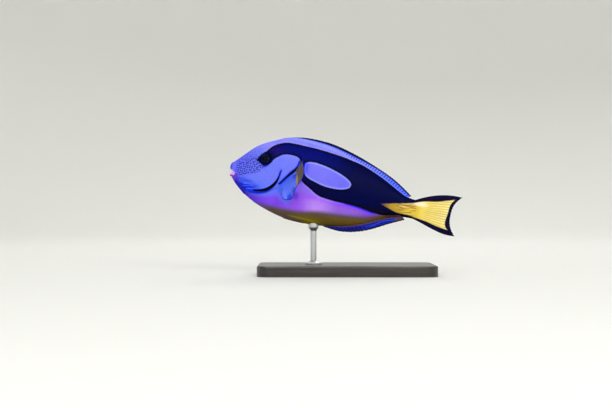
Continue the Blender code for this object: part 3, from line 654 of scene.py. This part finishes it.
    # Freckles: dark dots about 1.9 mm apart, larger where the field is stronger
    flat = addNode(tree, "ShaderNodeCombineXYZ", {0: station, 1: height}).outputs[0]
    dots = addNode(tree, "ShaderNodeTexVoronoi", {
        "Vector": flat, "Scale": 0.54, "Randomness": 0.55},
        voronoi_dimensions="2D").outputs["Distance"]
    spread = addNode(tree, "ShaderNodeMath", {0: freckles, 1: 0.3}, operation="MULTIPLY")
    spots = addNode(tree, "ShaderNodeMath", {0: spread.outputs[0], 1: dots}, operation="SUBTRACT")
    colour = paint(tree, colour, (spots.outputs[0], -0.03, 0.05, "#03063A"),
                   ("faceLine", 0.3, 0.75, "#00020C"), (station, 0.9, -0.3, "#3A2CE0", 0.8),
                   ("lips", 0.1, 0.9, "#F0B0E6", 0.85))

    # Scales about 0.8 mm across, each a shallow dome with its own slight tone
    scales = addNode(tree, "ShaderNodeTexVoronoi", {"Vector": place, "Scale": 1.25,
                                                   "Randomness": 0.55}).outputs
    tone = addNode(tree, "ShaderNodeMapRange", {
        "Value": scales["Color"], "To Min": 0.93, "To Max": 1.07}).outputs[0]
    colour = addNode(tree, "ShaderNodeMix", {0: 1.0, 6: colour, 7: tone},
                     data_type="RGBA", blend_type="MULTIPLY").outputs[2]
    relief = addNode(tree, "ShaderNodeBump", {
        "Height": scales["Distance"], "Strength": 0.35, "Distance": 0.00012}, invert=True)
    rough = addNode(tree, "ShaderNodeMapRange", {
        "Value": cloud, "From Min": 0.3, "From Max": 0.7, "To Min": 0.38, "To Max": 0.46})
    fillInputs(tree, shader, {"Base Color": colour, "Roughness": rough.outputs[0],
                              "Normal": relief.outputs[0], "Specular IOR Level": 0.03})
    return material


def makeSkin():
    rings = skinRings()
    columns, rows = len(rings) - 1, skin["around"]
    piece, u, v = gridPiece("fish_skin", columns, rows)
    i = np.rint(u * columns).astype(int)
    j = np.rint(v * rows).astype(int) % rows
    station, corner, up, down, width, middle = rings[i].T
    angle = 2 * math.pi * j / rows
    across, lift = np.sin(angle), np.cos(angle)
    reach = np.where(lift > 0, up, down)
    power = np.where(lift > 0, backRoundness(station), bellyRoundness(station))
    lowerLip = skin["lowerLipBack"] * ease(0.1, -0.5, lift) * ease(2.5, -0.5, station)
    places = np.stack([
        station + lowerLip + corner * np.abs(across) ** skin["cornerPower"],
        np.sign(across) * np.abs(across) ** (2 / power) * width,
        middle + np.sign(lift) * np.abs(lift) ** (2 / power) * reach], axis=1)

    grid = np.zeros((columns + 1, rows, 3))
    grid[i, j] = places
    roundStep = np.roll(grid, -1, axis=1) - np.roll(grid, 1, axis=1)
    normal = np.cross(np.gradient(grid, axis=0), roundStep)
    normal /= np.linalg.norm(normal, axis=2)[..., None] + 1e-9
    outward = grid - np.array([0, 0, 1.0]) * rings[:, 5][:, None, None]
    outward[..., 0] = 0
    middleRings = slice(columns // 3, columns // 2)
    if (normal * outward)[middleRings].sum() < 0:
        normal = -normal
    keep = ease(1.0, 4.0, places[:, 0])
    moved = places + normal[i, j] * (skinRelief(places) * keep)[:, None]
    placePoints(piece, toRow(moved))
    at = readings(places)
    addField(piece, "place", places)
    addBodyMarkings(piece, at)
    addFaceMarkings(piece, at)
    faceOutward(piece, skin["seam"] * mm)
    finishPiece(piece, skinMaterial(), "trunk_skin", "head", "trunk", "tail_base")


makeSkin()


# Fins

fins = {
    "dorsal_fin": {"rays": 28, "spines": 9, "base": (33.5, 151.5), "slot": "back_fin",
        "edge": [(36, 35.5), (39, 36.8), (42.5, 38), (48, 39.39), (55, 40.69),
        (65, 41.3), (79, 40.5), (94, 37.4), (108.5, 33.1), (123.5, 27.6),
        (139, 20.6), (154.5, 10.6)],
        "rows": 26, "perRay": 12, "notch": 0.05, "branch": -1, "split": 0.24,
        "gapReach": (0.08, 0.3), "gapStations": (78, 104),
        "margin": [(34, 0.2), (48, 0.5), (54, 1.2), (62, 1.8), (84, 2.3), (96, 2.2),
        (105, 2), (115, 1.5), (124, 1.15), (140, 1.3), (155, 1.2)]},
    "anal_fin": {"rays": 21, "spines": 3, "base": (85.5, 150.5), "slot": "dark_fin",
        "edge": [(87, -30), (99, -31.2), (114, -29), (127, -24), (139, -17.4),
        (153, -10.4)],
        "rows": 22, "perRay": 12, "notch": 0.05, "branch": 0.4, "gapReach": (0, 0.6),
        "margin": [(85, 0.9), (155, 0.9)]},
    "tail_fin": {"rays": 16, "spines": 0, "slot": "yellow_fin", "rootHalf": 7.7, "start": 157.6,
        "tip": (197.3, 16.7), "fork": 6.9, "rise": 1.5, "upperBulge": 3.2,
        "lowerBulge": 2.2, "rows": 70, "perRay": 22, "notch": 0.012, "branch": 0.3,
        "gapReach": (0, 0.5)},
    "pectoral_fin": {"rays": 15, "spines": 0, "slot": "side_fin",
        "tips": [(57.7, 20, 34.5), (59.7, 16, 33.5), (61.2, 10, 31),
        (60.6, 4.6, 27.5), (58.2, -1, 23), (57.1, -6.5, 18.5),
        (56.3, -12.2, 14), (52.8, -14.3, 10.5), (49.2, -14.3, 9),
        (46.2, -9.6, 8)],
        "rows": 56, "perRay": 14, "notch": 0.012, "branch": 0.4,
        "gapReach": (0, 0.5), "sweep": 1.7, "rootReach": 22,
        "goldEdge": [(-20, 60.5), (-8, 58.5), (-1, 57), (3, 56.3), (8, 55.1),
        (13, 54.1), (24, 52)],
        "deepCorner": (54, -12, 2.6, 4.2)},
    "pelvic_fin": {"rays": 4, "spines": 1, "slot": "belly_fin", "stations": (51, 70),
        "spread": (0.18, 0.46), "clear": 0.45, "rows": 40, "perRay": 18, "notch": 0.1,
        "branch": 0.4, "gapReach": (0.1, 0.6)},
}
web = {"membrane": 0.22, "ray": 0.55, "rayTaper": 0.65, "rayWidth": 0.13, "ripple": 0.18,
       "waves": (17, 2.4),
       "furrow": 0.1, "sunk": 0.04, "thickest": 3.4, "margin": 0.45,
       # Blue bands along the anal fin: strength, place, swing, waves, width, and where they start
       "belts": [(1, 0.45, 0.06, 23, 0.09, 0.3, 0.75), (0.6, 0.72, 0.05, 17, 0.06, 0.2, 0.6)]}


def rayRidges(fin, across, out):  # how near each point is to the middle of a ray, 0 to 1
    place = across * (fin["rays"] - 1)
    number = np.rint(place)
    local = place - number
    soft = (number >= fin["spines"]).astype(float)
    first = fin.get("split", 0.17) * ease(fin["branch"], fin["branch"] + 0.35, out) * soft
    second = 0.08 * ease(fin["branch"] + 0.35, 1.0, out) * soft
    width = web["rayWidth"] * (1 - 0.45 * out)
    ridges = [bell(local - a * first - b * second, width) for a in (-1, 1) for b in (-1, 1)]
    return np.max(ridges, axis=0)


def makeFin(name, fin, pointAt, rootThickness, material, nodes, ripple=1.0, markings=None):
    columns, rows = (fin["rays"] - 1) * fin["perRay"], fin["rows"]
    piece, across, out = gridPiece(name, columns, rows)
    out = out * (1 + web["sunk"]) - web["sunk"]  # from just inside the body to the margin
    ray = rayRidges(fin, across, out)
    reach = out * (1 - fin["notch"] * (1 - ray) * ease(0.5, 1.0, out))
    places = pointAt(across, reach)
    waves, lean = web["waves"]
    wave = web["ripple"] * np.sin(across * waves + out * lean) * ease(0, 1, out)
    turn = across * (fin["rays"] - 1) * 2 * math.pi
    places[:, 1] += ripple * (wave + web["furrow"] * np.cos(turn) * ease(0.1, 0.8, out))
    placePoints(piece, toRow(places))
    station = places[:, 0]
    length = np.linalg.norm(pointAt(across, out * 0 + 1) - pointAt(across, out * 0), axis=1)
    margin = smoothCurve(fin["margin"])(station) if "margin" in fin else web["margin"]
    belt = sum(strength * bell(out - middle - swing * np.sin(across * waves), width)
               * ease(start, full, across)
               for strength, middle, swing, waves, width, start, full in web["belts"])
    begin, end = fin.get("gapStations", (-2, -1))
    gap = ease(0.75, 0.25, ray) * ease(*fin["gapReach"], out)
    gap *= 0.15 + 0.85 * ease(begin, end, station)
    for field, values in {"place": places, "ray": ray, "out": out, "belt": belt, "gap": gap,
                          "edge": (1 - out) * length / margin,
                          "rear": ease(92, 150, station)}.items():
        addField(piece, field, values)
    if markings:
        markings(piece, places)
    thickness = web["membrane"] + web["ray"] * ray * (1 - web["rayTaper"] * np.clip(out, 0, 1))
    thickness += rootThickness(across, out)
    thickness *= 1 - 0.5 * ease(0.93, 1.0, out)
    group = piece.vertex_groups.new(name="thickness")
    for index, value in enumerate(thickness / web["thickest"]):
        group.add([index], float(min(1.0, value)), "REPLACE")
    applyModifier(piece, "SOLIDIFY", thickness=web["thickest"] * mm, offset=0.0,
                  vertex_group=group.name)
    piece.vertex_groups.clear()
    faceOutward(piece)
    finishPiece(piece, material, fin["slot"], *nodes)


def midlineFin(name, root, side, material):
    fin = fins[name]
    edge = smoothCurve(fin["edge"])

    def pointAt(across, out):
        station = fin["base"][0] + (fin["base"][1] - fin["base"][0]) * across
        foot = np.stack([station, station * 0, root(station) - side * 0.35], axis=1)
        reach = fin["edge"][0][0] + (fin["edge"][-1][0] - fin["edge"][0][0]) * across
        tip = np.stack([reach, station * 0, edge(reach)], axis=1)
        return foot + (tip - foot) * out[:, None]

    makeFin(name + "_web", fin, pointAt, lambda across, out: 0.9 * ease(0.5, 0.0, out) ** 2,
            material, [name])


def tailFin(material):
    fin = fins["tail_fin"]

    def pointAt(across, out):
        t = 2 * across - 1
        root = np.stack([t * 0 + fin["start"], t * 0, fin["rootHalf"] * t], axis=1)
        tip = np.stack([fin["tip"][0] - fin["fork"] * (1 - np.abs(t) ** 2.6), t * 0,
                        fin["rise"] + fin["tip"][1] * t], axis=1)
        bulge = np.where(t > 0, fin["upperBulge"] * 4 * out * (1 - out),
                         fin["lowerBulge"] * 6.75 * out ** 2 * (1 - out))
        points = root + (tip - root) * out[:, None]
        points[:, 2] += bulge * t * np.abs(t)
        return points

    def thickness(across, out):
        return 1.1 * ease(0.35, 0.0, out) ** 2 * np.sqrt(np.clip(1 - (2 * across - 1) ** 2, 0, 1))

    makeFin("tail_fin_web", fin, pointAt, thickness, material, ["tail_fin"], 2.0,
            addTailMarkings)


def pectoralFin(side, material):
    fin = fins["pectoral_fin"]
    tips = smoothPath(fin["tips"])
    (s0, h0), (s1, h1) = pectoralBase

    def pointAt(across, out):
        root = flankPoint(s0 + (s1 - s0) * across, h0 + (h1 - h0) * across, side)
        tip = tips(across)
        swept = np.clip(out, 0, 1) ** fin["sweep"]
        reach = np.where(out > 0, tip[:, 2], fin["rootReach"]) * out
        return np.stack([root[:, 0] + (tip[:, 0] - root[:, 0]) * swept, root[:, 1] + side * reach,
                         root[:, 2] + (tip[:, 1] - root[:, 2]) * swept], axis=1)

    def tipGold(piece, places):  # the outer part of the upper rays is gold
        station, _, height = places.T
        inside = station - smoothCurve(fin["goldEdge"])(height)
        wedge = ease(-0.4, 0.4, inside) * ease(-2.5, 0.5, height)
        addField(piece, "tipGold", wedge)
        addField(piece, "goldRim", wedge * bell(inside - 0.7, 1.0) * ease(12, 5, height))
        at = {"side": places, "station": station, "height": height}
        lowerRear = patch(at, spot=fin["deepCorner"])
        lowerRear = np.maximum(lowerRear, 0.75 * ease(-5.5, -1.5, inside) * ease(0, -5, height))
        nearWedge = ease(-6, -1.5, inside) * bell(height - 8, 4.0)
        addField(piece, "deepBlue", np.maximum(lowerRear, nearWedge))

    name = sided("pectoral_fin", side)
    makeFin(name + "_web", fin, pointAt, lambda across, out: 1.5 * ease(0.3, -0.05, out) ** 2,
            material, [name], 0.0, tipGold)


def pelvicFin(side, material):
    fin = fins["pelvic_fin"]

    def pointAt(across, out):
        first, last = fin["stations"]
        station = first + (last - first) * (0.1 * across + out * (1 - 0.25 * across))
        angle = fin["spread"][0] + (fin["spread"][1] - fin["spread"][0]) * across * (1 - 0.5 * out)
        power = bellyRoundness(station)
        y = side * halfWidth(station) * np.sin(angle) ** (2 / power)
        z = level(station) - (level(station) - belly(station)) * np.cos(angle) ** (2 / power)
        clear = fin["clear"] * ease(-0.05, 0.1, out)
        return np.stack([station, y + side * np.sin(angle) * clear, z - np.cos(angle) * clear],
                        axis=1)

    name = sided("pelvic_fin", side)
    makeFin(name + "_web", fin, pointAt, lambda across, out: 0.3 * ease(0.5, 0.0, out),
            material, [name], 0.0)


def finMaterial(name, look):
    # Cast translucent resin webs: satin, thinner-looking between the rays, darker at the margin
    material, tree, shader = newMaterial(name)
    place = addNode(tree, "ShaderNodeAttribute", attribute_name="place").outputs["Vector"]
    mottle = addNode(tree, "ShaderNodeTexNoise", {"Vector": place, "Scale": 0.5,
                                                 "Detail": 3.0}).outputs["Fac"]
    out, ray = [addNode(tree, "ShaderNodeAttribute", attribute_name=name).outputs["Fac"]
                for name in ("out", "ray")]
    colour = paint(tree, look["root"], (out, 0.05, 0.75, look["outer"]),
                   (mottle, 0.45, 0.75, look["mottle"], 0.4), *look.get("tints", ()),
                   ("gap", 0.0, 1.0, look["gap"], look.get("gapStrength", 1.0)),
                   *look.get("layers", ()), ("edge", *look["margin"]))
    relief = addNode(tree, "ShaderNodeBump", {"Height": ray, "Strength": 0.25,
                                             "Distance": 0.0002})
    fillInputs(tree, shader, {"Base Color": colour, "Roughness": 0.42,
                              "Normal": relief.outputs[0], "Specular IOR Level": 0.04})
    return material


blueWeb = finMaterial("blueResinWeb", {
    "root": "#8A8EFA", "outer": "#8C98FC", "mottle": "#9CA6FF", "gap": "#2A48DC",
    "tints": [("rear", 0, 1, "#5A74F8", 0.9)],
    "layers": [("edge", 1.5, 1.15, "#3C4AEC", 0.8)], "margin": (1.1, 0.8, "#05023A")})
darkWeb = finMaterial("indigoResinWeb", {
    "root": "#3428B4", "outer": "#121A74", "mottle": "#2C2CB0", "gap": "#0A1264",
    "layers": [("belt", 0.2, 0.8, "#2A40EC"), ("out", 0.3, 0.08, "#5C4634"),
        ("rear", 0.95, 1, "#5A4030", 0.85)],
    "margin": (1.3, 0.7, "#02031C")})
yellowWeb = finMaterial("yellowResinWeb", {
    "root": "#FFEA50", "outer": "#FDF2B4", "mottle": "#FFF8D8", "gap": "#DEC55A",
    # the cream patch at the upper root is a painted highlight
    "layers": [("out", 0.36, 0.1, "#E2C44C"), ("paintedTailHighlight", 0.1, 0.9, "#FFF2CC", 0.9),
        ("yellow", 0.35, -0.25, "#0E062E")],
    "margin": (1.3, 0.5, "#01010F")})
sideWeb = finMaterial("sideResinWeb", {
    "root": "#5674FA", "outer": "#748AFC", "mottle": "#8498FC", "gap": "#4E6CF2",
    "gapStrength": 0.7,
    "layers": [("deepBlue", 0.1, 0.9, "#102AE2", 0.8), ("tipGold", 0.35, 0.65, "#665A40"),
        ("goldRim", 0.2, 0.8, "#A8925A")],
    "margin": (2.6, 0.8, "#1A24C0", 0.85)})
bellyWeb = finMaterial("oliveResinWeb", {
    "root": "#5C4C3E", "outer": "#64543A", "mottle": "#72625A", "gap": "#4C3E38",
    "margin": (1.3, 0.6, "#3A3026")})

midlineFin("dorsal_fin", back, 1, blueWeb)
midlineFin("anal_fin", belly, -1, darkWeb)
tailFin(yellowWeb)
for side in (-1, 1):
    pectoralFin(side, sideWeb)
    pelvicFin(side, bellyWeb)


# Eyes and tail spines

def ballPiece(name, segments, rings, place, sink, axes, side, shape):
    deselectAll()
    bpy.ops.mesh.primitive_uv_sphere_add(segments=segments, ring_count=rings, radius=1)
    piece = bpy.context.object
    piece.name = piece.data.name = name
    local = np.zeros(len(piece.data.vertices) * 3)
    piece.data.vertices.foreach_get("co", local)
    local = shape(local.reshape(-1, 3)[:, [0, 2, 1]] * axes)
    facing = flankNormal(*place, side)
    along = np.array([1.0, 0, 0]) - facing * facing[0]
    along /= np.linalg.norm(along)
    turn = np.stack([along, facing, np.cross(along, facing)])
    centre = flankPoint(*place, side) - facing * sink
    placePoints(piece, toRow(centre + local @ turn))
    faceOutward(piece, 0.001 * mm)
    return piece, local


def makeEyes():
    # Cast glass eye: near black, with a faint indigo iris ring under a clear wet dome
    material, tree, shader = newMaterial("castGlassEye")
    colour = paint(tree, "#000112", *[("fromPupil", *ring) for ring in eye["rings"]])
    fillInputs(tree, shader, {"Base Color": colour, "Roughness": 0.3, "Coat Weight": 0.04,
                              "Specular IOR Level": 0.03, "Coat Roughness": 0.03})
    for side in (-1, 1):
        name = sided("eye", side)

        def dome(local):
            rise, width = eye["cornea"]
            reach = np.hypot(local[:, 0], local[:, 2])
            local[:, 1] += np.where(local[:, 1] > 0, rise * bell(reach, width), 0)
            return local

        piece, local = ballPiece(name + "_ball", 96, 64, eye["place"],
                                 eye["depth"] - eye["proud"],
                                 (eye["radius"], eye["depth"], eye["radius"]), side, dome)
        reach = np.where(local[:, 1] > 0, np.hypot(local[:, 0], local[:, 2]), eye["radius"])
        addField(piece, "fromPupil", reach)
        finishPiece(piece, material, "eye", name)


def makeSpines():
    # Bone: ivory with a faint darker grain, evenly polished
    material, tree, shader = newMaterial("polishedBone")
    place = addNode(tree, "ShaderNodeTexCoord").outputs["Object"]
    grain = addNode(tree, "ShaderNodeTexNoise", {"Vector": place, "Scale": 900.0, "Detail": 3.0})
    colour = paint(tree, "#E6C868", (grain.outputs["Fac"], 0.4, 0.7, "#C99A44"))
    fillInputs(tree, shader, {"Base Color": colour, "Roughness": 0.3})
    length, thick, high = spine["size"]
    for side in (-1, 1):
        name = sided("tail_spine", side)

        def blade(local):
            ahead = np.clip(-local[:, 0] / (length / 2), 0, 1)
            local[:, 2] *= 1 - 0.55 * ahead
            return local

        piece, _ = ballPiece(name + "_bone", 48, 24, spine["place"], 0.0,
                             (length / 2, thick / 2, high / 2), side, blade)
        finishPiece(piece, material, "tail_spine", name)


makeEyes()
makeSpines()


# Stand

def standMaterials():
    # Ebonised beech: near-black stain with the grain just showing, under a satin varnish
    wood, tree, shader = newMaterial("ebonisedBeech")
    place = addNode(tree, "ShaderNodeTexCoord").outputs["Object"]
    lie = addNode(tree, "ShaderNodeMapping", {"Vector": place, "Scale": (22.0, 420.0, 420.0)})
    grain = addNode(tree, "ShaderNodeTexNoise", {"Vector": lie.outputs[0], "Scale": 1.0,
                                                "Detail": 5.0, "Distortion": 0.6}).outputs["Fac"]
    colour = paint(tree, "#1C1714", (grain, 0.4, 0.7, "#342A24"))
    pores = addNode(tree, "ShaderNodeBump", {"Height": grain, "Strength": 0.3,
                                            "Distance": 0.0002})
    fillInputs(tree, shader, {"Base Color": colour, "Normal": pores.outputs[0], "Roughness": 0.38,
                              "Coat Weight": 0.3, "Coat Roughness": 0.2})

    # Brushed stainless steel: fine rings round the rod soften its highlight
    steel, tree, shader = newMaterial("brushedSteel")
    place = addNode(tree, "ShaderNodeTexCoord").outputs["Object"]
    lie = addNode(tree, "ShaderNodeMapping", {"Vector": place, "Scale": (60.0, 60.0, 5000.0)})
    lines = addNode(tree, "ShaderNodeTexNoise", {"Vector": lie.outputs[0], "Scale": 1.0,
                                                "Detail": 2.0}).outputs["Fac"]
    rough = addNode(tree, "ShaderNodeMapRange", {"Value": lines, "To Min": 0.22, "To Max": 0.38})
    fillInputs(tree, shader, {"Base Color": linearColour("#C4C5C8"), "Metallic": 1.0,
                              "Roughness": rough.outputs[0]})
    return wood, steel


for name, material in zip(("stand_base", "stand_rod"), standMaterials()):
    frame["nodes"][name].data.materials.clear()
    frame["nodes"][name].data.materials.append(material)


# Studio

studio = {"floorRadius": 1.3, "bend": 1.2, "bendSteps": 10, "wall": 1.5, "colour": "#ECECE9",
          "cameraCentre": (-34.24, 60.15), "frameWidth": 519.6, "lens": 76, "sensor": 36,
          "ambient": 0.42}
lights = [  # name, place, aim, size, power
    ("keyLight", (-0.35, -1.5, 1.2), (0, 0, 0.06), 1.5, 20),
    ("fillLight", (0.85, -1.35, 0.75), (0, 0, 0.06), 0.6, 8),
    ("backLight", (0.2, 1.2, 1.3), (0, 0, 0.06), 0.9, 8),
    ("wallLight", (0, 0.9, 1.9), (0, 2.2, 0.5), 1.6, 22),
]


def makeFloor():
    deselectAll()
    bpy.ops.mesh.primitive_circle_add(vertices=96, radius=studio["floorRadius"],
                                      fill_type="NGON")
    floor = bpy.context.object
    floor.name = "floor"
    bpy.ops.object.mode_set(mode="EDIT")
    bpy.ops.mesh.select_all(action="DESELECT")
    bpy.ops.mesh.select_mode(type="EDGE")
    bpy.ops.mesh.select_non_manifold()
    steps = studio["bendSteps"]
    for i in range(steps):  # the floor bends up into a low wall all round
        near, far = [studio["bend"] * math.sin(math.pi / 2 * k / steps) for k in (i, i + 1)]
        low, high = [studio["bend"] * (1 - math.cos(math.pi / 2 * k / steps)) for k in (i, i + 1)]
        grow = (studio["floorRadius"] + far) / (studio["floorRadius"] + near)
        bpy.ops.mesh.extrude_region_move(TRANSFORM_OT_translate={"value": (0, 0, high - low)})
        bpy.ops.transform.resize(value=(grow, grow, 1), center_override=(0, 0, 0))
    bpy.ops.mesh.extrude_region_move(
        TRANSFORM_OT_translate={"value": (0, 0, studio["wall"] - studio["bend"])})
    bpy.ops.mesh.select_all(action="SELECT")
    bpy.ops.mesh.normals_make_consistent(inside=True)
    bpy.ops.object.mode_set(mode="OBJECT")
    floor.data.shade_smooth()
    material, tree, shader = newMaterial("palePaper")
    fillInputs(tree, shader, {"Base Color": linearColour(studio["colour"]), "Roughness": 0.8})
    floor.data.materials.append(material)


def makeLights():
    for name, place, aim, size, power in lights:
        lamp = bpy.data.lights.new(name, "AREA")
        lamp.size, lamp.energy = size, power
        item = bpy.data.objects.new(name, lamp)
        item.location = place
        item.rotation_euler = (Vector(aim) - Vector(place)).to_track_quat("-Z", "Y").to_euler()
        item.visible_camera = False
        bpy.context.scene.collection.objects.link(item)
    world = bpy.data.worlds.new("studio")
    bpy.context.scene.world = world
    world.use_nodes = True
    fillInputs(world.node_tree, world.node_tree.nodes["Background"],
               {"Color": (1, 1, 1, 1), "Strength": studio["ambient"]})


def makeCamera():
    data = bpy.data.cameras.new("camera")
    data.lens, data.sensor_width = studio["lens"], studio["sensor"]
    data.clip_start, data.clip_end = 0.05, 20
    camera = bpy.data.objects.new("camera", data)
    x, z = studio["cameraCentre"]
    away = studio["frameWidth"] * studio["lens"] / studio["sensor"]
    camera.location = (x * mm, -away * mm, z * mm)
    camera.rotation_euler = (math.pi / 2, 0, 0)
    bpy.context.scene.collection.objects.link(camera)
    bpy.context.scene.camera = camera


makeFloor()
makeLights()
makeCamera()
bpy.context.scene.view_settings.view_transform = "Standard"
